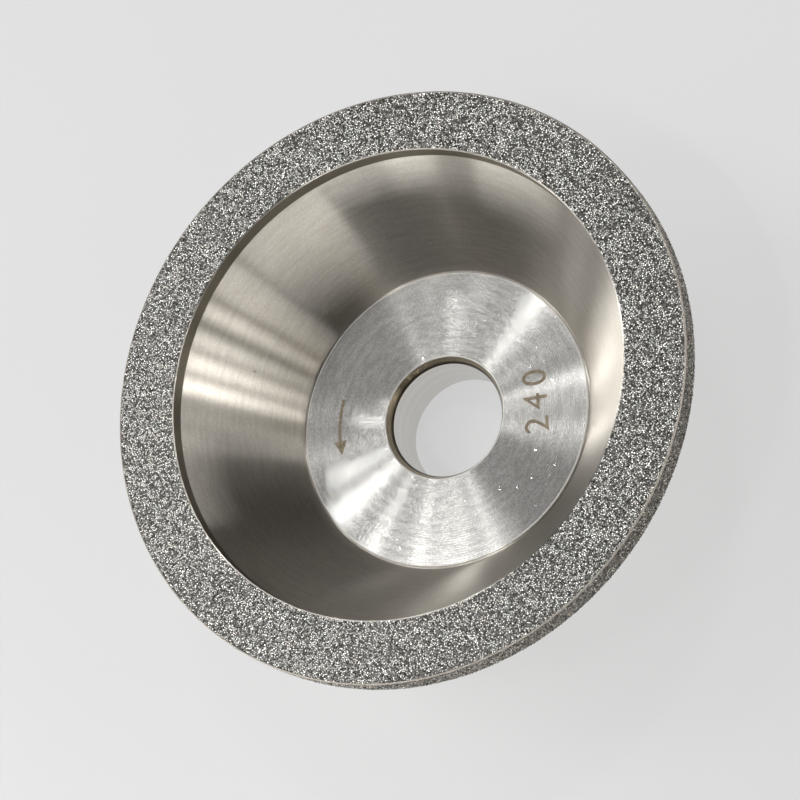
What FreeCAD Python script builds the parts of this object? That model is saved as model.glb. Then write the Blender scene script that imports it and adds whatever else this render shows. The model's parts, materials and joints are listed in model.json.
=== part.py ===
"""Flared cup diamond grinding wheel, 100 mm across, with a 20 mm bore. Sizes are in millimetres.

The wheel's axis is +Z. The origin is on the axis, at the hub's back face, which seats on the
spindle's flange, and the cup opens upwards. The wheel is one turned steel body that carries two
electroplated diamond layers: one on the flat face of its rim and one round the rim's edge. The two
layers meet in a mitre at the rim's corner.
"""

import FreeCAD, Part
import os
import Sketcher

PARTS_FOLDER = "parts"
TOLERANCE = 1e-4

# Driving dimensions: alias, value, what it measures.
DIMENSIONS = (
    ("wheel_diameter", 100.0, "over the coated edge of the rim"),
    ("wheel_height", 35.0, "from the hub's back face to the coated face"),
    ("bore_diameter", 20.0, "the hole that the spindle goes through"),
    ("hub_thickness", 12.0, "from the back face to the clamping face in the cup"),
    ("hub_back_diameter", 60.0, "the flat ring that seats on the spindle's flange"),
    ("clamp_face_diameter", 52.0, "the flat disc at the bottom of the cup, where the nut bears"),
    ("relief_width", 0.35, "the turned groove between that disc and the cup's wall"),
    ("relief_depth", 0.3, "how far the groove lies below the disc"),
    ("face_band_width", 10.0, "the coated ring on the rim's face"),
    ("edge_band_height", 4.7, "the coated band round the rim's edge"),
    ("layer_thickness", 0.2, "nickel bond with one layer of diamond grains"),
    ("bare_rim_width", 0.3, "steel left uncoated inside the coated ring"),
    ("lip_depth", 2.6, "the near-straight wall under the mouth"),
    ("lip_draft", 0.1, "how much narrower the lip is at its foot, on the radius"),
    ("corner_bevel", 0.15, "the worn corner where the two layers meet"),
    ("bore_lead_width", 0.9, "the front lead-in of the bore, on the radius"),
    ("bore_lead_depth", 1.6, "the front lead-in of the bore, along the axis"),
    ("bore_back_chamfer", 0.8, "the chamfer at the back of the bore"),
    ("hub_edge_break", 0.4, "the chamfer round the hub's back face"),
)

# Places that more than one piece uses, worked out from the driving dimensions.
DERIVED = (
    ("outer_radius", "=wheel_diameter / 2"),
    ("steel_radius", "=wheel_diameter / 2 - layer_thickness"),
    ("steel_face_height", "=wheel_height - layer_thickness"),
    ("band_back_height", "=wheel_height - edge_band_height"),
    ("face_band_radius", "=wheel_diameter / 2 - face_band_width"),
    ("mouth_radius", "=wheel_diameter / 2 - face_band_width - bare_rim_width"),
    ("lip_foot_radius", "=mouth_radius - lip_draft"),
    ("lip_foot_height", "=wheel_height - lip_depth"),
    ("clamp_face_radius", "=clamp_face_diameter / 2"),
    ("cone_foot_radius", "=clamp_face_diameter / 2 + relief_width"),
    ("relief_height", "=hub_thickness - relief_depth"),
    ("bore_radius", "=bore_diameter / 2"),
    ("hub_back_radius", "=hub_back_diameter / 2"),
)


def make_sheet(document):
    """The spreadsheet that drives every size: one row each, with its alias, value and meaning."""
    sheet = document.addObject("Spreadsheet::Sheet", "sizes")
    rows = [(alias, str(value), note) for alias, value, note in DIMENSIONS]
    rows += [(alias, formula, "worked out") for alias, formula in DERIVED]
    for row, (alias, content, note) in enumerate(rows, start=1):
        sheet.set(f"A{row}", alias)
        sheet.set(f"B{row}", content)
        sheet.set(f"C{row}", note)
        sheet.setAlias(f"B{row}", alias)
    document.recompute()
    return sheet


def origin_plane(body, role):
    """One of the body's own origin planes."""
    return next(feature for feature in body.Origin.OriginFeatures if feature.Role == role)


def make_profile(body, name, corners):
    """A closed sketch of straight lines on the body's XZ plane, through corners given as
    (radius, height). Each is an expression on the sheet, and a height of None is the back face."""
    sketch = body.newObject("Sketcher::SketchObject", name)
    sketch.AttachmentSupport = [(origin_plane(body, "XZ_Plane"), "")]
    sketch.MapMode = "FlatFace"
    count = len(corners)
    # The lines only need a rough place, in the right order. The constraints then move them.
    rough = [rough_place(body.Document.sizes, corner) for corner in corners]
    for number in range(count):
        sketch.addGeometry(Part.LineSegment(rough[number], rough[(number + 1) % count]))
    for number in range(count):
        following = (number + 1) % count
        sketch.addConstraint(Sketcher.Constraint("Coincident", number, 2, following, 1))
    for number, (radius, height) in enumerate(corners):
        bind_distance(sketch, "DistanceX", number, radius, rough[number].x)
        if height is None:
            sketch.addConstraint(Sketcher.Constraint("PointOnObject", number, 1, -1))
        else:
            bind_distance(sketch, "DistanceY", number, height, rough[number].y)
    return sketch


def rough_place(sheet, corner):
    """Where a profile's corner lies for the sheet's present values."""
    radius, height = corner
    x = sheet.evalExpression(on_sheet(radius)).Value
    y = 0.0 if height is None else sheet.evalExpression(on_sheet(height)).Value
    return FreeCAD.Vector(x, y, 0)


def on_sheet(expression):
    """The expression with each of the sheet's aliases written as sizes.alias."""
    aliases = {row[0] for row in DIMENSIONS + DERIVED}
    words = expression.split(" ")
    return " ".join(f"sizes.{word} * 1 mm" if word in aliases else word for word in words)


def bind_distance(sketch, kind, number, expression, value):
    """Holds the first point of a line at a distance from the sketch's origin."""
    index = sketch.addConstraint(Sketcher.Constraint(kind, -1, 1, number, 1, value))
    sketch.setExpression(f"Constraints[{index}]", on_sheet(expression))


def make_body(document, label, corners):
    """A body whose first feature is the profile turned once round the wheel's axis."""
    body = document.addObject("PartDesign::Body", label)
    body.Label = label
    sketch = make_profile(body, f"{label}_profile", corners)
    turned = body.newObject("PartDesign::Revolution", f"{label}_turned")
    turned.Profile = sketch
    turned.ReferenceAxis = (sketch, ["V_Axis"])
    turned.Angle = 360.0
    document.recompute()
    return body


def round_edge(shape, radius, height):
    """The name of the circular edge about the axis with this radius at this height."""
    for number, edge in enumerate(shape.Edges, start=1):
        circle = edge.Curve
        if not isinstance(circle, Part.Circle):
            continue
        if abs(circle.Radius - radius) < TOLERANCE and abs(circle.Center.z - height) < TOLERANCE:
            return f"Edge{number}"
    raise RuntimeError(f"no round edge of radius {radius} at height {height}")


def add_chamfer(body, name, radius, height, size, second_size=None):
    """A chamfer on one round edge. With a second size, size is taken off the flat face and
    second_size off the wall of the hole."""
    base = body.Tip
    chamfer = body.newObject("PartDesign::Chamfer", name)
    chamfer.Base = (base, [round_edge(base.Shape, radius, height)])
    chamfer.setExpression("Size", f"sizes.{size} * 1 mm")
    if second_size:
        chamfer.ChamferType = "Two distances"
        chamfer.setExpression("Size2", f"sizes.{second_size} * 1 mm")
    body.Tip = chamfer
    body.Document.recompute()
    if chamfer.Shape.isNull() or chamfer.Shape.Volume >= base.Shape.Volume:
        raise RuntimeError(f"{name} takes nothing off")
    return chamfer


def make_wheel_body(document, sheet):
    """The steel cup: a thick hub with the bore, a flared wall and a flat-faced rim."""
    corners = (
        ("bore_radius", None),
        ("hub_back_radius", None),
        ("steel_radius", "band_back_height"),
        ("steel_radius", "steel_face_height"),
        ("mouth_radius", "steel_face_height"),
        ("lip_foot_radius", "lip_foot_height"),
        ("cone_foot_radius", "relief_height"),
        ("clamp_face_radius", "relief_height"),
        ("clamp_face_radius", "hub_thickness"),
        ("bore_radius", "hub_thickness"),
    )
    body = make_body(document, "wheel_body", corners)
    bore_radius = sheet.bore_radius
    add_chamfer(body, "hub_edge", sheet.hub_back_radius, 0.0, "hub_edge_break")
    add_chamfer(body, "bore_back", bore_radius, 0.0, "bore_back_chamfer")
    lead = add_chamfer(
        body,
        "bore_lead",
        bore_radius,
        sheet.hub_thickness,
        "bore_lead_width",
        "bore_lead_depth",
    )
    # The two sizes can land on the wrong faces, which the lead's outer edge shows.
    if not has_round_edge(lead.Shape, bore_radius + sheet.bore_lead_width, sheet.hub_thickness):
        lead.FlipDirection = not lead.FlipDirection
        document.recompute()
    round_edge(lead.Shape, bore_radius + sheet.bore_lead_width, sheet.hub_thickness)
    return body


def has_round_edge(shape, radius, height):
    """Whether round_edge finds an edge there."""
    circles = [edge.Curve for edge in shape.Edges if isinstance(edge.Curve, Part.Circle)]
    return any(
        abs(circle.Radius - radius) < TOLERANCE and abs(circle.Center.z - height) < TOLERANCE
        for circle in circles
    )


def make_face_layer(document):
    """The coated ring on the rim's face, as wide as the band, with its outer end mitred."""
    corners = (
        ("face_band_radius", "steel_face_height"),
        ("steel_radius", "steel_face_height"),
        ("outer_radius - corner_bevel / 2", "wheel_height - corner_bevel / 2"),
        ("outer_radius - corner_bevel", "wheel_height"),
        ("face_band_radius", "wheel_height"),
    )
    return make_body(document, "face_diamond_layer", corners)


def make_edge_layer(document):
    """The coated band round the rim's edge, with its upper end mitred."""
    corners = (
        ("steel_radius", "band_back_height"),
        ("outer_radius", "band_back_height"),
        ("outer_radius", "wheel_height - corner_bevel"),
        ("outer_radius - corner_bevel / 2", "wheel_height - corner_bevel / 2"),
        ("steel_radius", "steel_face_height"),
    )
    return make_body(document, "edge_diamond_layer", corners)


def check_document(document, bodies):
    """Stops if a feature failed or a piece isn't one whole solid."""
    for item in document.Objects:
        if "Invalid" in item.State or "Error" in item.State:
            raise RuntimeError(f"{item.Label} failed: {item.State}")
    for body in bodies:
        shape = body.Shape
        if shape.isNull() or not shape.isValid() or len(shape.Solids) != 1:
            raise RuntimeError(f"{body.Label} isn't one valid solid")


def main():
    document = FreeCAD.newDocument("grinding_wheel")
    sheet = make_sheet(document)
    bodies = (
        make_wheel_body(document, sheet),
        make_face_layer(document),
        make_edge_layer(document),
    )
    for body in bodies:
        body.Placement = FreeCAD.Placement()
    document.recompute()
    check_document(document, bodies)
    os.makedirs(PARTS_FOLDER, exist_ok=True)
    for body in bodies:
        body.Shape.exportStep(f"{PARTS_FOLDER}/{body.Label}.step")
        print(f"{body.Label}: {body.Shape.Volume:.1f} mm3")


main()
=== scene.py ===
"""Looks of a flared cup diamond grinding wheel: turned steel, nickel bond and diamond grains.

Lengths are in millimetres unless a name says otherwise, and MM turns them into Blender's metres.
The wheel's axis is Z, the hub's back face lies on the floor, and the cup opens upwards.
"""

import json
from math import asin, atan2, ceil, cos, hypot, pi, radians, sin, tan

import bpy
from mathutils import Matrix, Vector

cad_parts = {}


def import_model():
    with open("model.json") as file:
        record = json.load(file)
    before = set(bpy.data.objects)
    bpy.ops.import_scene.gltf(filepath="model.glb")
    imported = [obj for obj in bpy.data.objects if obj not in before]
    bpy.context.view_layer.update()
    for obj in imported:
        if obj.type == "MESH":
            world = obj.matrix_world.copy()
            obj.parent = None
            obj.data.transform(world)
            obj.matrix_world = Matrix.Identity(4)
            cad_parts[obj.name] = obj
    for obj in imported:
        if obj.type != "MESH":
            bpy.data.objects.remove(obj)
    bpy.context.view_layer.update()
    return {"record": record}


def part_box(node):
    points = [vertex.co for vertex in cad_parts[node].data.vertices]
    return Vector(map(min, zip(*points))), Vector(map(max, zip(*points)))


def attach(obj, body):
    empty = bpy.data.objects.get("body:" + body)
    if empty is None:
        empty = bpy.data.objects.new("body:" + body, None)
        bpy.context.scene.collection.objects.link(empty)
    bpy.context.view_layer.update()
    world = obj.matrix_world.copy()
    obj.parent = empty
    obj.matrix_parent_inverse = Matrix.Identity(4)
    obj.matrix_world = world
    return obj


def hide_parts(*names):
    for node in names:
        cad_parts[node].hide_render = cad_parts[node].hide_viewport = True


MM = 0.001

# Turning: corners of the steel that the frame's boxes and mounts don't give.
HUB_BACK_RADIUS = 30.0
CLAMP_FACE_RADIUS = 26.0
RELIEF_WIDTH = 0.35
RELIEF_DEPTH = 0.3
FACE_BAND_WIDTH = 10.0
BARE_RIM_WIDTH = 0.3
LIP_DEPTH = 2.6
LIP_DRAFT = 0.1
BORE_LEAD_WIDTH = 0.9
BORE_LEAD_DEPTH = 1.6
BORE_BACK_CHAMFER = 0.8
HUB_EDGE_BREAK = 0.4
CORNER_BEVEL = 0.15
TURNED_SIDES = 512
ARC_STEPS = 4

# Plating: how the grains sit in the bond, and how far from the rim's corner they and the bond's
# upper level stop. The corner itself is a narrow land of bare nickel.
GRAIN_SPACING = 0.26
GRAIN_RADIUS = 0.165
GRAIN_SUNK = 0.1
GRAINS_PER_MM2 = 60.0
GRAIN_STOP = CORNER_BEVEL * 1.8
BOND_BELOW_TOP = 0.1
BOND_STOP = CORNER_BEVEL * 2.5
LAND_STOP = CORNER_BEVEL * 1.5
# How far the painted highlight on the rim's corner reaches.
LAND_SHINE = CORNER_BEVEL * 2.2
FACE_SECTORS = 3
EDGE_SECTORS = 2
TONE = "tone"

# Finish of the steel: the lathe's marks, and the width of the edges painted bright as a highlight.
MARK_PITCH = 0.42
MARK_SLANT = 0.8
HIGHLIGHT_EDGE_WIDTH = 0.22

# Colours of the steel.
DISC_DULL = (0.82, 0.805, 0.77, 1)
DISC_BRIGHT = (1.0, 0.985, 0.95, 1)
DISC_GROOVE = (0.45, 0.43, 0.40, 1)
WALL_PALE = (0.45, 0.425, 0.38, 1)
WALL_DEEP = (0.38, 0.355, 0.315, 1)
WALL_FLECK = (0.15, 0.13, 0.11, 1)
BORE_PALE = (0.80, 0.78, 0.745, 1)
BORE_DEEP = (0.71, 0.69, 0.655, 1)
DIRT = (0.22, 0.20, 0.165, 1)
SPECK = (0.08, 0.06, 0.045, 1)
# The lip is simply made darker than the wall.
LIP_DARK = (0.20, 0.175, 0.135, 1)
BARE_RIM = (0.42, 0.40, 0.36, 1)
LEAD_STAIN = (0.42, 0.37, 0.29, 1)
# Painted shade in the crease at the foot of the bore's lead.
LEAD_FOOT_SHADE = (0.05, 0.04, 0.03, 1)
# Painted highlight on the edges of the disc and of the bore's lead.
EDGE_HIGHLIGHT = (0.86, 0.84, 0.80, 1)

# Colours of the plating, palest first, and of the etched marks.
# The nickel is painted dark as the shade that falls between the grains.
FACE_NICKEL_SHADE = ((0.26, 0.25, 0.23, 1), (0.04, 0.039, 0.036, 1))
EDGE_NICKEL_SHADE = ((0.24, 0.22, 0.19, 1), (0.06, 0.055, 0.048, 1))
# Painted highlight along the rim's corner.
LAND_HIGHLIGHT = (0.30, 0.275, 0.24, 1)
FACE_DIAMOND = ((1.0, 0.965, 0.90, 1), (0.95, 0.965, 0.94, 1), (0.015, 0.015, 0.013, 1))
# The edge's grains are a darker copy of the face's, as painted shade on the rim's side.
EDGE_DIAMOND_SHADE = ((0.27, 0.243, 0.20, 1), (0.22, 0.21, 0.185, 1), (0.04, 0.036, 0.03, 1))
SCORCH = ((0.34, 0.28, 0.20, 1), (0.17, 0.135, 0.09, 1))

# Etched marks on the clamping face.
NUMBER_TEXT = "240"
NUMBER_HEIGHT = 4.3
NUMBER_SPACING = 1.35
NUMBER_RADIUS = 16.9
NUMBER_BEARING = 311.0
ARROW_RADIUS = 19.5
ARROW_WIDTH = 0.55
ARROW_START = 112.0
ARROW_SWEEP = 30.0
ARROW_HEAD_LENGTH = 2.6
ARROW_HEAD_WIDTH = 2.4
ARROW_STEPS = 24
ETCH_PROUD = 0.008
ETCH_SUNK = 0.02

# Camera: how it looks at the wheel's face, in degrees and metres. The lens is in millimetres.
LENS = 108.0
CAMERA_DISTANCE = 0.388
CAMERA_TILT = 29.27
CAMERA_ROLL = 55.25
AIM_RIGHT = 0.0018
AIM_UP = -0.0035

# Soft boxes: name, bearing and height above the floor in degrees, then distance, width and depth
# in metres, and watts.
SOFT_BOXES = (
    ("left_bank_0", 326, 17, 0.8, 0.12, 0.26, 0.27),
    ("left_bank_1", 317, 17, 0.8, 0.07, 0.26, 0.92),
    ("left_bank_2", 308, 17, 0.8, 0.08, 0.26, 0.78),
    ("left_bank_3", 299, 17, 0.8, 0.08, 0.26, 0.51),
    ("near_bank_1", 288, 17, 0.8, 0.08, 0.24, 0.47),
    ("near_bank_2", 274, 17, 0.8, 0.20, 0.22, 0.73),
    ("right_thin", 184, 18, 0.8, 0.015, 0.08, 0.02),
    ("far_bank", 109, 19, 0.8, 0.30, 0.12, 3.3),
    ("far_bank_2", 132, 17, 0.8, 0.12, 0.12, 0.27),
    ("right_low", 204, 5, 0.8, 0.60, 0.12, 2.90),
    ("near_low", 245, 13, 0.8, 0.56, 0.16, 1.90),
    ("back_low", 155, 8, 0.8, 0.40, 0.14, 1.40),
    ("left_high", 336, 27, 0.8, 0.16, 0.10, 0.31),
    ("left_low", 350, 6, 0.8, 0.50, 0.12, 0.96),
    ("rear_edge", 72, 28, 0.8, 0.05, 0.05, 0.15),
    ("overhead", 90, 61, 0.8, 0.30, 0.30, 0.085),
    ("rim_fill", 150, 66, 0.22, 0.10, 0.10, 0.03),
    ("rim_fill_2", 163, 59, 0.22, 0.12, 0.12, 0.02),
    ("rim_graze", 170, 13, 0.2, 0.20, 0.03, 0.15),
)

# Strip lights: bearing in degrees of the streak that each draws on the disc, how far it stands
# from the disc's mirror direction, width and length in metres, and watts.
STRIPS = (
    (130, 0.30, 0.020, 0.12, 0.44),
    (158, 0.30, 0.022, 0.10, 0.30),
    (173, 0.34, 0.030, 0.12, 0.59),
    (192, 0.30, 0.020, 0.10, 0.13),
    (211, 0.34, 0.018, 0.12, 0.10),
    (229, 0.45, 0.020, 0.12, 0.22),
    (241, 0.62, 0.025, 0.12, 0.90),
    (317, 0.50, 0.025, 0.10, 0.70),
    (222, 0.34, 0.018, 0.12, 0.05),
    (297, 0.45, 0.025, 0.10, 0.16),
    (112, 0.30, 0.020, 0.06, 0.42),
    (24, 0.31, 0.010, 0.12, 0.15),
    (48, 0.32, 0.012, 0.12, 0.08),
    (12, 0.30, 0.012, 0.10, 0.05),
    (350, 0.31, 0.022, 0.12, 0.14),
)
STRIP_DISTANCE = 0.8
ROOM_LIGHT = 0.07

# Stage, in metres.
FLOOR_GLOW = 0.54
FLOOR_REACH = 3.0
BACKDROP_RADIUS = 2.9
BACKDROP_HEIGHT = 3.0
BACKDROP_SIDES = 64


# --- nodes ---------------------------------------------------------------------------------------


class Signal:
    """A node's output that takes part in Python arithmetic, which adds Math nodes."""

    def __init__(self, graph, socket):
        self.graph = graph
        self.socket = socket

    def maths(self, operation, *values):
        """A Math node whose first value is this one."""
        inputs = dict(enumerate((self, *values)))
        return self.graph.node("ShaderNodeMath", {"operation": operation}, inputs)["Value"]

    def __add__(self, other):
        return self.maths("ADD", other)

    def __radd__(self, other):
        return self.maths("ADD", other)

    def __sub__(self, other):
        return self.maths("SUBTRACT", other)

    def __rsub__(self, other):
        return (self * -1.0).maths("ADD", other)

    def __mul__(self, other):
        return self.maths("MULTIPLY", other)

    def __rmul__(self, other):
        return self.maths("MULTIPLY", other)

    def __truediv__(self, other):
        return self.maths("DIVIDE", other)

    def root(self):
        return self.maths("SQRT")

    def sine(self):
        return self.maths("SINE")

    def above(self, edge):
        """1 where the value is over the edge, else 0."""
        return self.maths("GREATER_THAN", edge)

    def below(self, edge):
        """1 where the value is under the edge, else 0."""
        return self.maths("LESS_THAN", edge)

    def ramp(self, low, high, from_value=0.0, to_value=1.0):
        """from_value at low and to_value at high, smooth between them and level beyond."""
        inputs = {
            "Value": self,
            "From Min": low,
            "From Max": high,
            "To Min": from_value,
            "To Max": to_value,
        }
        settings = {"interpolation_type": "SMOOTHSTEP", "clamp": True}
        return self.graph.node("ShaderNodeMapRange", settings, inputs)["Result"]


class Made:
    """A node just made. Indexing it by an output's name gives that output as a Signal."""

    def __init__(self, graph, node):
        self.graph = graph
        self.node = node

    def __getitem__(self, output):
        return Signal(self.graph, self.node.outputs[output])


class Graph:
    """A node tree that is being built."""

    def __init__(self, tree):
        self.tree = tree

    def node(self, kind, settings=None, inputs=None):
        """Adds a node: its settings first, then each socket's value or link, by name or number."""
        node = self.tree.nodes.new(kind)
        for setting, value in (settings or {}).items():
            setattr(node, setting, value)
        for socket, value in (inputs or {}).items():
            if isinstance(value, Signal):
                self.tree.links.new(value.socket, node.inputs[socket])
            else:
                node.inputs[socket].default_value = value
        return Made(self, node)

    def colours(self, factor, first, second):
        """A mix of two colours: all first at 0 and all second at 1."""
        inputs = {0: factor, 6: first, 7: second}
        settings = {"data_type": "RGBA", "clamp_factor": True}
        return Signal(self, self.node("ShaderNodeMix", settings, inputs).node.outputs[2])

    def noise(self, place, scale, detail=2.0, roughness=0.5):
        """Smooth noise from 0 to 1. Scale is in patches per millimetre."""
        inputs = {"Vector": place, "Scale": scale / MM, "Detail": detail, "Roughness": roughness}
        return self.node("ShaderNodeTexNoise", {"noise_dimensions": "3D"}, inputs)["Fac"]

    def line_noise(self, along, scale, detail=2.0):
        """Noise that changes only with one value, given in millimetres."""
        inputs = {"W": along, "Scale": scale, "Detail": detail}
        return self.node("ShaderNodeTexNoise", {"noise_dimensions": "1D"}, inputs)["Fac"]

    def cells(self, place, scale, output="Distance"):
        """Voronoi cells. Scale is in cells per millimetre."""
        inputs = {"Vector": place, "Scale": scale / MM}
        return self.node("ShaderNodeTexVoronoi", {"voronoi_dimensions": "3D"}, inputs)[output]

    def scaled(self, place, stretch):
        """A place stretched by a factor along each axis."""
        inputs = {0: place, 1: stretch}
        return self.node("ShaderNodeVectorMath", {"operation": "MULTIPLY"}, inputs)["Vector"]

    def bump(self, height, distance, normal=None):
        """A normal tilted by a height from 0 to 1. Distance is the height's size in millimetres."""
        inputs = {"Height": height, "Distance": distance * MM, "Strength": 1.0}
        if normal:
            inputs["Normal"] = normal
        return self.node("ShaderNodeBump", None, inputs)["Normal"]


def new_material(name):
    """A material with an empty tree. Returns it with its graph and its Object coordinates."""
    material = bpy.data.materials.new(name)
    material.use_nodes = True
    material.node_tree.nodes.clear()
    graph = Graph(material.node_tree)
    return material, graph, graph.node("ShaderNodeTexCoord")["Object"]


def surface(graph, inputs):
    """Ends a material's tree in one Principled shader with these sockets."""
    shader = graph.node("ShaderNodeBsdfPrincipled", None, inputs)["BSDF"]
    graph.node("ShaderNodeOutputMaterial", None, {"Surface": shader})


def sparse_spots(graph, place, scale, size, share):
    """1 in a few small round spots, else 0. Share is the part of the cells that has a spot."""
    spot = graph.cells(place, scale).ramp(size * 0.6, size, 1.0, 0.0)
    luck = graph.node("ShaderNodeSeparateColor", None, {0: graph.cells(place, scale, "Color")})
    return spot * luck["Red"].above(1 - share)


# --- finishes ------------------------------------------------------------------------------------


def steel_zones(radius, height, sizes):
    """Masks of the places on the steel that look different, 1 inside and 0 outside. The small
    lengths keep a zone's border just off the rounded corners."""
    hub = sizes["hub"]
    mouth = sizes["ring_inside"] - BARE_RIM_WIDTH
    lead_outside = sizes["bore"] + BORE_LEAD_WIDTH
    inner = radius.below(CLAMP_FACE_RADIUS + 0.02)
    disc = inner * height.above(hub - 0.25)
    lip = radius.above(mouth - LIP_DRAFT * 1.5) * radius.below(mouth + 0.01)
    lip = lip * height.above(sizes["top"] - LIP_DEPTH + 0.1)
    rim = radius.above(mouth + 0.01) * height.above(sizes["steel_top"] - 0.1)
    depth = hub - height
    lead = radius.below(lead_outside - 0.06) * depth.above(0.05)
    lead = lead * depth.below(BORE_LEAD_DEPTH + 0.05)
    # The edges of the disc and of the bore's lead, painted bright below as a highlight.
    disc_edge = disc * radius.above(CLAMP_FACE_RADIUS - HIGHLIGHT_EDGE_WIDTH)
    lead_edge = radius.below(lead_outside + HIGHLIGHT_EDGE_WIDTH / 2)
    lead_edge = lead_edge * radius.above(lead_outside - HIGHLIGHT_EDGE_WIDTH / 2)
    return {
        "inner": inner,
        "disc": disc,
        "lathed": 1.0 - inner * (1.0 - disc),
        "lip": lip,
        "rim": rim,
        "lead": lead,
        # Painted shade in the crease at the foot of the bore's lead.
        "lead_foot": lead * depth.ramp(BORE_LEAD_DEPTH * 0.55, BORE_LEAD_DEPTH * 0.8),
        # Painted highlight on those edges.
        "worn": (disc_edge + lead_edge) * height.above(hub - HIGHLIGHT_EDGE_WIDTH),
    }


def steel_marks(graph, place, axes, along):
    """What the lathe, handling and rust leave on the steel, from 0 to 1 each. Along is the way
    outwards and up the wall, in millimetres."""
    angle = axes["Y"].maths("ARCTAN2", axes["X"])
    around = graph.node("ShaderNodeCombineXYZ", None, {"X": angle * 6.0, "Y": along})["Vector"]
    ridges = (along * (2 * pi / MARK_PITCH)).sine() * 0.5 + 0.5
    return {
        "ridges": ridges * graph.noise(place, 0.05, 2.0).ramp(0.35, 0.65),
        "scratches": graph.noise(around, 1.1 * MM, 3.0, 0.65),
        "rings": graph.line_noise(along, 0.9, 2.0),
        "clouds": graph.noise(place, 0.07, 3.0),
        "grain": graph.noise(place, 2.6, 1.0, 0.7),
        "pocks": sparse_spots(graph, place, 1.5, 0.24, 0.13),
        "pits": sparse_spots(graph, place, 0.45, 0.12, 0.16),
        "specks": sparse_spots(graph, graph.scaled(place, (1.0, 1.0, 0.9)), 0.17, 0.045, 0.3),
    }


def steel_tone(graph, zones, marks):
    """A bright disc and a warm wall, with dirt in their scratches, stains, a darker lip, painted
    shade at the foot of the bore's lead and edges painted bright as a highlight.
    """
    flecks = marks["grain"].ramp(0.36, 0.64)
    disc = graph.colours(flecks, DISC_DULL, DISC_BRIGHT)
    disc = graph.colours(marks["ridges"] * 0.22, disc, DISC_GROOVE)
    wall = graph.colours(marks["clouds"], WALL_PALE, WALL_DEEP)
    wall = graph.colours(flecks * 0.14, wall, WALL_FLECK)
    bore = graph.colours(marks["clouds"], BORE_PALE, BORE_DEEP)
    tone = graph.colours(zones["inner"], wall, bore)
    tone = graph.colours(zones["disc"], tone, disc)
    scratched = marks["scratches"].ramp(0.4, 0.62) * zones["lathed"]
    tone = graph.colours(scratched * 0.2, tone, DIRT)
    tone = graph.colours(marks["rings"].ramp(0.4, 0.65) * 0.07, tone, DIRT)
    tone = graph.colours(marks["specks"] * 0.5, tone, SPECK)
    tone = graph.colours(zones["lip"], tone, LIP_DARK)
    tone = graph.colours(zones["rim"], tone, BARE_RIM)
    tone = graph.colours(zones["lead"], tone, LEAD_STAIN)
    # Painted shade at the foot of the bore's lead.
    tone = graph.colours(zones["lead_foot"] * 0.9, tone, LEAD_FOOT_SHADE)
    # Painted highlight on the edges of the disc and of the lead.
    return graph.colours(zones["worn"], tone, EDGE_HIGHLIGHT)


def steel_relief(graph, zones, marks):
    """The marks that can be felt. The bore's wall is reamed smooth and has none."""
    normal = graph.bump(marks["ridges"] * zones["lathed"], 0.003)
    normal = graph.bump(marks["scratches"] * zones["lathed"], 0.002, normal)
    normal = graph.bump(marks["grain"] * zones["disc"], 0.0004, normal)
    normal = graph.bump(marks["pocks"] * zones["disc"], 0.006, normal)
    return graph.bump(marks["pits"] * zones["lathed"], 0.03, normal)


def turned_steel(sizes):
    """Steel straight from the lathe: a bright disc, a warm satin wall, fine rings and pits, a
    darker lip, a darker skin in the bore's lead with painted shade at its foot, and edges painted
    bright as a highlight."""
    material, graph, place = new_material("turned_steel")
    axes = graph.node("ShaderNodeSeparateXYZ", None, {0: place})
    radius = (axes["X"] * axes["X"] + axes["Y"] * axes["Y"]).root() / MM
    height = axes["Z"] / MM
    zones = steel_zones(radius, height, sizes)
    marks = steel_marks(graph, place, axes, radius + height * MARK_SLANT)
    inputs = {
        "Base Color": steel_tone(graph, zones, marks),
        # The painted highlight's edges are nearly non-metallic, so they show pale from every side.
        "Metallic": 1.0 - zones["worn"] * 0.85,
        "Roughness": 0.30 - zones["inner"] * 0.14,
        "Anisotropic": 1.0,
        "Anisotropic Rotation": 0.25,
        "Normal": steel_relief(graph, zones, marks),
    }
    surface(graph, inputs)
    return material


def nickel_bond(name, colours, sizes):
    """The plated nickel between the grains: uneven and dull, painted dark as the shade that falls
    between the grains, and painted lighter at the rim's corner as a highlight."""
    material, graph, place = new_material(name)
    axes = graph.node("ShaderNodeSeparateXYZ", None, {0: place})
    radius = (axes["X"] * axes["X"] + axes["Y"] * axes["Y"]).root() / MM
    # Painted highlight along the rim's corner.
    corner = radius.above(sizes["outer"] - LAND_SHINE)
    corner = corner * (axes["Z"] / MM).above(sizes["top"] - LAND_SHINE)
    lumps = graph.cells(place, 5.0)
    fine = graph.noise(place, 6.0, 3.0)
    # Painted shade: the dark tones stand for the shade between the grains.
    tone = graph.colours(lumps.ramp(0.1, 0.7), *colours)
    inputs = {
        "Base Color": graph.colours(corner * 0.7, tone, LAND_HIGHLIGHT),
        "Metallic": 1.0,
        "Roughness": 0.35 + fine * 0.25,
        "Normal": graph.bump(lumps * 0.7 + fine * 0.3, 0.06),
    }
    surface(graph, inputs)
    return material


def diamond_grain(name, warm, cool, deep):
    """Diamond grains: hard facets whose tone changes from grain to grain."""
    material, graph, place = new_material(name)
    tone = graph.node("ShaderNodeAttribute", {"attribute_name": TONE})["Fac"].ramp(0.24, 0.6)
    tint = graph.noise(place, 0.9, 1.0)
    pale = graph.colours(tint.ramp(0.35, 0.65), warm, cool)
    inputs = {
        "Base Color": graph.colours(tone, deep, pale),
        "Metallic": 0.6,
        "Roughness": 0.2 + tone * 0.15,
        "IOR": 2.2,
    }
    surface(graph, inputs)
    return material


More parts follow.
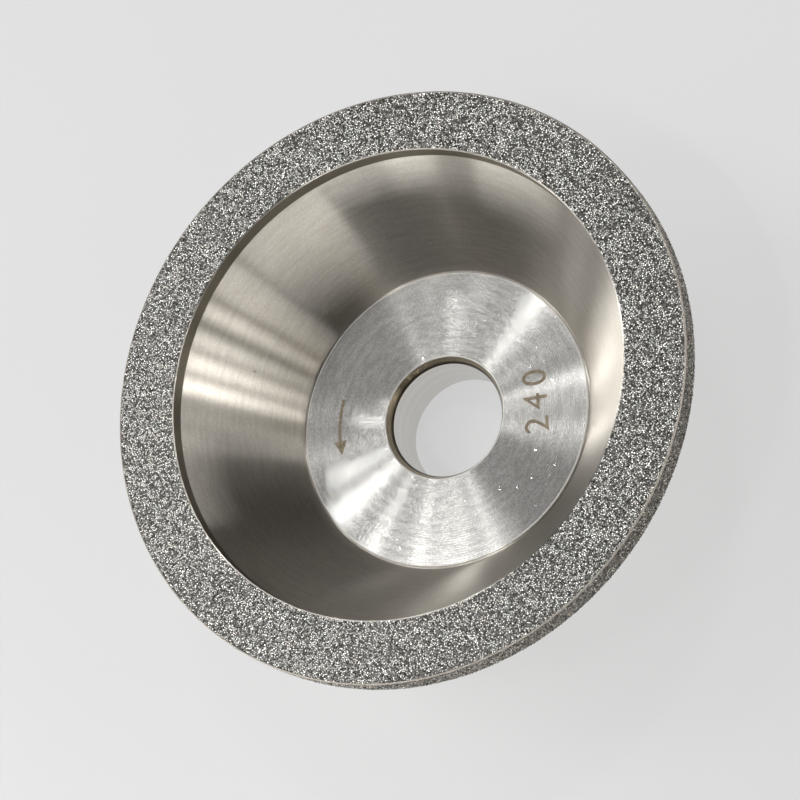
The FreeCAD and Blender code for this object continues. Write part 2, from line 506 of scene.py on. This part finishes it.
def laser_etch():
    """The dull brown skin that a marking laser leaves on steel."""
    material, graph, place = new_material("laser_etch")
    scorch = graph.noise(place, 2.2, 3.0)
    inputs = {
        "Base Color": graph.colours(scorch.ramp(0.3, 0.7), *SCORCH),
        "Metallic": 0.3,
        "Roughness": 0.6 + scorch * 0.2,
        "Normal": graph.bump(scorch, 0.01),
    }
    surface(graph, inputs)
    return material


def studio_floor():
    """A pale light table, which glows a little."""
    material, graph, place = new_material("light_table")
    mottle = graph.noise(place, 0.01, 3.0)
    inputs = {
        "Base Color": graph.colours(mottle, (0.16, 0.16, 0.16, 1), (0.145, 0.145, 0.145, 1)),
        "Roughness": 0.9,
        "Specular IOR Level": 0.2,
        "Emission Color": (1, 1, 1, 1),
        "Emission Strength": FLOOR_GLOW,
    }
    surface(graph, inputs)
    return material


# --- turned shapes -------------------------------------------------------------------------------


def eased(corners):
    """A closed outline with each corner rounded. Corners are (radius, height, easing), in order.
    Returns points as (radius, height, outward radius, outward height)."""
    points = []
    count = len(corners)
    for number, (x, y, easing) in enumerate(corners):
        before = Vector((x, y)) - Vector(corners[number - 1][:2])
        after = Vector(corners[(number + 1) % count][:2]) - Vector((x, y))
        turn = before.angle_signed(after) * -1
        first_outward = atan2(-before.x, before.y)
        cut = easing * abs(tan(turn / 2))
        start = Vector((x, y)) - before.normalized() * cut
        side = 1 if turn > 0 else -1
        centre = start - side * easing * Vector((cos(first_outward), sin(first_outward)))
        for step in range(ARC_STEPS + 1):
            angle = first_outward + turn * step / ARC_STEPS
            outward = Vector((cos(angle), sin(angle)))
            spot = centre + side * easing * outward
            points.append((spot.x, spot.y, outward.x, outward.y))
    return points


def turned(name, corners, material):
    """A closed solid: the eased outline turned once round the wheel's axis."""
    outline = eased(corners)
    vertices = []
    normals = []
    for side in range(TURNED_SIDES):
        angle = 2 * pi * side / TURNED_SIDES
        for radius, height, outward, upward in outline:
            vertices.append((radius * MM * cos(angle), radius * MM * sin(angle), height * MM))
            normals.append((outward * cos(angle), outward * sin(angle), upward))
    count = len(outline)
    faces = []
    for side in range(TURNED_SIDES):
        here = side * count
        there = (side + 1) % TURNED_SIDES * count
        for number in range(count):
            following = (number + 1) % count
            faces.append((here + number, there + number, there + following, here + following))
    return new_piece(name, vertices, faces, material, normals)


def new_piece(name, vertices, faces, material, normals=None):
    """A smooth mesh object in the scene, at the origin."""
    mesh = bpy.data.meshes.new(name)
    mesh.from_pydata(vertices, [], faces)
    mesh.materials.append(material)
    mesh.shade_smooth()
    if normals:
        mesh.normals_split_custom_set_from_vertices(normals)
    piece = bpy.data.objects.new(name, mesh)
    bpy.context.scene.collection.objects.link(piece)
    return piece


def steel_corners(sizes):
    """The steel's outline, from the bore's back chamfer round the outside to the bore's lead."""
    slope = Vector((sizes["steel"] - HUB_BACK_RADIUS, sizes["band_back"])).normalized()
    broken = Vector((HUB_BACK_RADIUS, 0)) + slope * HUB_EDGE_BREAK
    mouth = sizes["ring_inside"] - BARE_RIM_WIDTH
    return (
        (sizes["bore"], BORE_BACK_CHAMFER, 0.05),
        (sizes["bore"] + BORE_BACK_CHAMFER, 0.0, 0.05),
        (HUB_BACK_RADIUS - HUB_EDGE_BREAK, 0.0, 0.05),
        (broken.x, broken.y, 0.1),
        (sizes["steel"], sizes["band_back"], 0.05),
        (sizes["steel"], sizes["steel_top"], 0.02),
        (mouth, sizes["steel_top"], 0.08),
        (mouth - LIP_DRAFT, sizes["top"] - LIP_DEPTH, 0.2),
        (CLAMP_FACE_RADIUS + RELIEF_WIDTH, sizes["hub"] - RELIEF_DEPTH, 0.08),
        (CLAMP_FACE_RADIUS, sizes["hub"] - RELIEF_DEPTH, 0.05),
        (CLAMP_FACE_RADIUS, sizes["hub"], 0.2),
        (sizes["bore"] + BORE_LEAD_WIDTH, sizes["hub"], 0.12),
        (sizes["bore"], sizes["hub"] - BORE_LEAD_DEPTH, 0.15),
    )


def face_bond_corners(sizes):
    """The bond on the rim's face, a little below the grains' tops, with a mitred outer end."""
    bond_top = sizes["top"] - BOND_BELOW_TOP
    return (
        (sizes["ring_inside"], sizes["steel_top"], 0.01),
        (sizes["steel"], sizes["steel_top"], 0.01),
        (sizes["outer"] - CORNER_BEVEL / 2, sizes["top"] - CORNER_BEVEL / 2, 0.01),
        (sizes["outer"] - CORNER_BEVEL, sizes["top"], 0.02),
        (sizes["outer"] - LAND_STOP, sizes["top"], 0.02),
        (sizes["outer"] - BOND_STOP, bond_top, 0.02),
        (sizes["ring_inside"], bond_top, 0.04),
    )


def edge_bond_corners(sizes):
    """The bond round the rim's edge, a little inside the grains' tips, with a mitred top."""
    bond_side = sizes["outer"] - BOND_BELOW_TOP
    return (
        (sizes["steel"], sizes["band_back"], 0.01),
        (bond_side, sizes["band_back"], 0.04),
        (bond_side, sizes["top"] - BOND_STOP, 0.02),
        (sizes["outer"], sizes["top"] - LAND_STOP, 0.02),
        (sizes["outer"], sizes["top"] - CORNER_BEVEL, 0.02),
        (sizes["outer"] - CORNER_BEVEL / 2, sizes["top"] - CORNER_BEVEL / 2, 0.01),
        (sizes["steel"], sizes["steel_top"], 0.01),
    )


# --- grains --------------------------------------------------------------------------------------


def grain_tree():
    """Geometry Nodes that scatter crystals over a surface, each turned and sized at random, with
    a random tone from 0 to 1 that its finish reads."""
    tree = bpy.data.node_groups.new("scatter_grains", "GeometryNodeTree")
    new_socket = tree.interface.new_socket
    new_socket("Surface", in_out="INPUT", socket_type="NodeSocketGeometry")
    new_socket("Spacing", in_out="INPUT", socket_type="NodeSocketFloat")
    new_socket("Density", in_out="INPUT", socket_type="NodeSocketFloat")
    new_socket("Grain radius", in_out="INPUT", socket_type="NodeSocketFloat")
    new_socket("Seed", in_out="INPUT", socket_type="NodeSocketInt")
    new_socket("Material", in_out="INPUT", socket_type="NodeSocketMaterial")
    new_socket("Grains", in_out="OUTPUT", socket_type="NodeSocketGeometry")
    graph = Graph(tree)
    given = graph.node("NodeGroupInput")
    seed = given["Seed"]
    scatter_inputs = {
        "Mesh": given["Surface"],
        "Distance Min": given["Spacing"],
        "Density Max": given["Density"],
        "Seed": seed,
    }
    settings = {"distribute_method": "POISSON"}
    spots = graph.node("GeometryNodeDistributePointsOnFaces", settings, scatter_inputs)["Points"]
    shape = {"Segments": 4, "Rings": 2, "Radius": given["Grain radius"]}
    crystal = graph.node("GeometryNodeMeshUVSphere", None, shape)["Mesh"]
    facets = {"Geometry": crystal, "Shade Smooth": False}
    crystal = graph.node("GeometryNodeSetShadeSmooth", None, facets)["Geometry"]
    turn = random_value(graph, "FLOAT_VECTOR", (0, 0, 0), (2 * pi, 2 * pi, 2 * pi), seed)
    size = random_value(graph, "FLOAT_VECTOR", (0.7, 0.7, 0.6), (1.25, 1.25, 1.0), seed + 1)
    grains_inputs = {"Points": spots, "Instance": crystal, "Rotation": turn, "Scale": size}
    grains = graph.node("GeometryNodeInstanceOnPoints", None, grains_inputs)["Instances"]
    named = {
        "Geometry": grains,
        "Name": TONE,
        "Value": random_value(graph, "FLOAT", 0.0, 1.0, seed + 2),
    }
    settings = {"data_type": "FLOAT", "domain": "INSTANCE"}
    grains = graph.node("GeometryNodeStoreNamedAttribute", settings, named)["Geometry"]
    real = graph.node("GeometryNodeRealizeInstances", None, {"Geometry": grains})["Geometry"]
    painted = {"Geometry": real, "Material": given["Material"]}
    done = graph.node("GeometryNodeSetMaterial", None, painted)["Geometry"]
    graph.node("NodeGroupOutput", None, {"Grains": done})
    return tree


def random_value(graph, kind, low, high, seed):
    """A random number or vector for each point. Its sockets' names repeat from kind to kind, so
    the ones in use are picked out."""
    made = graph.node("FunctionNodeRandomValue", {"data_type": kind})
    sockets = {socket.name: socket for socket in made.node.inputs if socket.enabled}
    sockets["Min"].default_value = low
    sockets["Max"].default_value = high
    graph.tree.links.new(seed.socket, sockets["Seed"])
    return Signal(graph, next(socket for socket in made.node.outputs if socket.enabled))


def band_sector(name, first, second, start, sweep):
    """A strip of surface between two rings given as (radius, height), over part of a turn."""
    steps = ceil(TURNED_SIDES * sweep / (2 * pi))
    vertices = []
    for step in range(steps + 1):
        angle = start + sweep * step / steps
        for radius, height in (first, second):
            vertices.append((radius * MM * cos(angle), radius * MM * sin(angle), height * MM))
    faces = [(2 * step, 2 * step + 1, 2 * step + 3, 2 * step + 2) for step in range(steps)]
    mesh = bpy.data.meshes.new(name)
    mesh.from_pydata(vertices, [], faces)
    piece = bpy.data.objects.new(name, mesh)
    bpy.context.scene.collection.objects.link(piece)
    return piece


def scatter(piece, tree, material, seed):
    """Turns a strip into the grains that lie on it, as a plain mesh."""
    modifier = piece.modifiers.new("grains", "NODES")
    modifier.node_group = tree
    values = {
        "Spacing": GRAIN_SPACING * MM,
        "Density": GRAINS_PER_MM2 / MM**2,
        "Grain radius": GRAIN_RADIUS * MM,
        "Seed": seed,
        "Material": material,
    }
    for item in tree.interface.items_tree:
        if item.in_out == "INPUT" and item.name in values:
            modifier[item.identifier] = values[item.name]
    evaluated = piece.evaluated_get(bpy.context.evaluated_depsgraph_get())
    mesh = bpy.data.meshes.new_from_object(evaluated)
    strip_mesh = piece.data
    piece.modifiers.clear()
    piece.data = mesh
    bpy.data.meshes.remove(strip_mesh)
    mesh.name = piece.name
    return piece


def make_grains(name, first, second, sectors, material, tree):
    """The grains of one band, in sectors so that no piece grows too large."""
    pieces = []
    sweep = 2 * pi / sectors
    for number in range(sectors):
        piece = band_sector(f"{name}_{number + 1}", first, second, number * sweep, sweep)
        pieces.append(scatter(piece, tree, material, 10 * number + sectors))
    return pieces


# --- etched marks --------------------------------------------------------------------------------


def make_number(sizes, material):
    """A plain grit number, etched on the clamping face with its top towards the bore."""
    data = bpy.data.curves.new("grit_number", "FONT")
    data.body = NUMBER_TEXT
    data.align_x = "CENTER"
    data.align_y = "CENTER"
    data.space_character = NUMBER_SPACING
    data.extrude = (ETCH_PROUD + ETCH_SUNK) / 2
    text = bpy.data.objects.new("grit_number", data)
    bpy.context.scene.collection.objects.link(text)
    evaluated = text.evaluated_get(bpy.context.evaluated_depsgraph_get())
    mesh = bpy.data.meshes.new_from_object(evaluated)
    bpy.data.objects.remove(text)
    heights = [vertex.co.y for vertex in mesh.vertices]
    size = NUMBER_HEIGHT / (max(heights) - min(heights))
    bearing = radians(NUMBER_BEARING)
    middle = Vector((cos(bearing), sin(bearing), 0)) * NUMBER_RADIUS
    middle.z = sizes["hub"] + (ETCH_PROUD - ETCH_SUNK) / 2
    turn = Matrix.Rotation(bearing + pi / 2, 4, "Z") @ Matrix.Diagonal((size, size, 1, 1))
    mesh.transform(Matrix.Diagonal((MM, MM, MM, 1)) @ Matrix.Translation(middle) @ turn)
    mesh.materials.clear()
    mesh.materials.append(material)
    piece = bpy.data.objects.new("grit_number", mesh)
    bpy.context.scene.collection.objects.link(piece)
    return piece


def make_arrow(sizes, material):
    """A curved arrow for the way the wheel turns, etched on the clamping face."""
    half = ARROW_WIDTH / 2
    head = ARROW_HEAD_LENGTH / ARROW_RADIUS
    start = radians(ARROW_START)
    sweep = radians(ARROW_SWEEP) - head
    outline = []
    for step in range(ARROW_STEPS + 1):
        outline.append((ARROW_RADIUS + half, start + sweep * step / ARROW_STEPS))
    outline.append((ARROW_RADIUS + ARROW_HEAD_WIDTH / 2, start + sweep))
    outline.append((ARROW_RADIUS, start + sweep + head))
    outline.append((ARROW_RADIUS - ARROW_HEAD_WIDTH / 2, start + sweep))
    for step in range(ARROW_STEPS, -1, -1):
        outline.append((ARROW_RADIUS - half, start + sweep * step / ARROW_STEPS))
    count = len(outline)
    vertices = []
    for level in (sizes["hub"] - ETCH_SUNK, sizes["hub"] + ETCH_PROUD):
        for radius, angle in outline:
            vertices.append((radius * MM * cos(angle), radius * MM * sin(angle), level * MM))
    faces = [tuple(range(count, 2 * count)), tuple(range(count - 1, -1, -1))]
    for number in range(count):
        following = (number + 1) % count
        faces.append((number, following, count + following, count + number))
    arrow = new_piece("turn_arrow", vertices, faces, material)
    arrow.data.shade_flat()
    return arrow


# --- stage ---------------------------------------------------------------------------------------


def make_floor():
    """A wide pale sheet under the wheel."""
    signs = ((-1, -1), (1, -1), (1, 1), (-1, 1))
    corners = [(x * FLOOR_REACH, y * FLOOR_REACH, 0) for x, y in signs]
    floor = new_piece("floor", corners, [(0, 1, 2, 3)], studio_floor())


def make_backdrop():
    """A pale curtain far round the stage, which lights nothing."""
    material, graph, place = new_material("curtain")
    shade = graph.noise(place, 0.002, 2.0)
    tone = graph.colours(shade, (0.70, 0.70, 0.70, 1), (0.66, 0.66, 0.66, 1))
    glow = graph.node("ShaderNodeEmission", None, {"Color": tone})["Emission"]
    graph.node("ShaderNodeOutputMaterial", None, {"Surface": glow})
    vertices = []
    for side in range(BACKDROP_SIDES):
        angle = 2 * pi * side / BACKDROP_SIDES
        for height in (0, BACKDROP_HEIGHT):
            vertices.append((BACKDROP_RADIUS * cos(angle), BACKDROP_RADIUS * sin(angle), height))
    faces = []
    for side in range(BACKDROP_SIDES):
        here = 2 * side
        there = 2 * ((side + 1) % BACKDROP_SIDES)
        faces.append((here, there, there + 1, here + 1))
    curtain = new_piece("curtain", vertices, faces, material)
    for rays in ("diffuse", "glossy", "transmission", "shadow", "volume_scatter"):
        setattr(curtain, f"visible_{rays}", False)


def make_camera(sizes):
    """The camera leans from the wheel's axis and rolls, so that the cup opens to the upper left."""
    tilt = radians(CAMERA_TILT)
    turn = Matrix.Rotation(tilt, 3, "X") @ Matrix.Rotation(radians(-CAMERA_ROLL), 3, "Z")
    right, up, back = turn.col
    aim = Vector((0, 0, sizes["top"] * MM)) + right * AIM_RIGHT + up * AIM_UP
    data = bpy.data.cameras.new("camera")
    data.lens = LENS
    data.clip_start = 0.01
    camera = bpy.data.objects.new("camera", data)
    camera.matrix_world = Matrix.Translation(aim + back * CAMERA_DISTANCE) @ turn.to_4x4()
    bpy.context.scene.collection.objects.link(camera)
    bpy.context.scene.camera = camera


def panel(name, away, long_way, distance, width, length, power):
    """A rectangular soft box that looks at the wheel from a direction, with its length turned
    towards long_way. It doesn't show itself in a picture."""
    data = bpy.data.lights.new(name, "AREA")
    data.shape = "RECTANGLE"
    data.size = width
    data.size_y = length
    data.energy = power
    across = long_way.cross(away).normalized()
    turn = Matrix((across, away.cross(across), away)).transposed()
    light = bpy.data.objects.new(name, data)
    light.matrix_world = Matrix.Translation(away * distance) @ turn.to_4x4()
    light.visible_camera = False
    bpy.context.scene.collection.objects.link(light)


def make_lights():
    """Low soft boxes round the wheel for the wall, and high strips that draw the disc's streaks.
    On a turned disc a light shows as a streak, on the line from the mirror direction to it."""
    world = bpy.data.worlds.new("studio")
    world.use_nodes = True
    world.node_tree.nodes["Background"].inputs["Color"].default_value = (1, 1, 1, 1)
    world.node_tree.nodes["Background"].inputs["Strength"].default_value = ROOM_LIGHT
    bpy.context.scene.world = world
    upwards = Vector((0, 0, 1))
    for name, bearing, rise, distance, width, depth, power in SOFT_BOXES:
        flat = cos(radians(rise))
        angle = radians(bearing)
        away = Vector((cos(angle) * flat, sin(angle) * flat, sin(radians(rise))))
        panel(name, away, upwards, distance, width, depth, power)
    mirror = Vector((0, sin(radians(CAMERA_TILT)), 0))
    for number, (bearing, reach, width, length, power) in enumerate(STRIPS, start=1):
        streak = Vector((cos(radians(bearing)), sin(radians(bearing)), 0))
        spot = mirror + streak * reach
        away = Vector((spot.x, spot.y, cos(asin(hypot(spot.x, spot.y)))))
        panel(f"strip_{number}", away, streak, STRIP_DISTANCE, width, length, power)


# --- the wheel -----------------------------------------------------------------------------------


def frame_sizes(record):
    """The sizes that the frame gives, in millimetres."""
    steel_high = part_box("wheel_body")[1]
    edge_low, edge_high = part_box("edge_diamond_layer")
    mounts = {mount["name"]: mount for mount in record["mounts"]}
    return {
        "outer": edge_high[0] / MM,
        "steel": steel_high[0] / MM,
        "top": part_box("face_diamond_layer")[1][2] / MM,
        "steel_top": steel_high[2] / MM,
        "band_back": edge_low[2] / MM,
        "ring_inside": edge_high[0] / MM - FACE_BAND_WIDTH,
        "hub": mounts["clamp_face"]["pos_m"][2] / MM,
        "bore": mounts["bore"]["dims"]["r_mm"],
    }


def make_steel(sizes):
    """The turned cup."""
    body = turned("wheel_turning", steel_corners(sizes), turned_steel(sizes))
    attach(body, "root")
    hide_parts("wheel_body")


def make_marks(sizes):
    """The etched number and arrow."""
    etch = laser_etch()
    for piece in (make_number(sizes, etch), make_arrow(sizes, etch)):
        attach(piece, "root")


def make_bond(sizes):
    """The two rings of nickel that hold the grains."""
    face_metal = nickel_bond("face_bond", FACE_NICKEL_SHADE, sizes)
    ring = turned("face_bond", face_bond_corners(sizes), face_metal)
    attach(ring, "root")
    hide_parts("face_diamond_layer")
    edge_metal = nickel_bond("edge_bond", EDGE_NICKEL_SHADE, sizes)
    band = turned("edge_bond", edge_bond_corners(sizes), edge_metal)
    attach(band, "root")
    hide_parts("edge_diamond_layer")


def make_grit(sizes):
    """The grains on the rim's face and round its edge."""
    tree = grain_tree()
    face_grain = diamond_grain("face_grain", *FACE_DIAMOND)
    # The edge's grains are a darker copy of the face's, as painted shade on the rim's side.
    edge_grain = diamond_grain("edge_grain", *EDGE_DIAMOND_SHADE)
    level = sizes["top"] - GRAIN_SUNK
    inner = (sizes["ring_inside"], level)
    outer = (sizes["outer"] - GRAIN_STOP, level)
    for piece in make_grains("face_grit", inner, outer, FACE_SECTORS, face_grain, tree):
        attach(piece, "root")
    reach = sizes["outer"] - GRAIN_SUNK
    lower = (reach, sizes["band_back"] + GRAIN_RADIUS / 2)
    upper = (reach, sizes["top"] - GRAIN_STOP)
    for piece in make_grains("edge_grit", lower, upper, EDGE_SECTORS, edge_grain, tree):
        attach(piece, "root")


def main():
    bpy.context.scene.view_settings.view_transform = "Standard"
    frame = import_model()
    sizes = frame_sizes(frame["record"])
    make_camera(sizes)
    make_floor()
    make_backdrop()
    make_lights()
    make_steel(sizes)
    make_marks(sizes)
    make_bond(sizes)
    make_grit(sizes)


main()
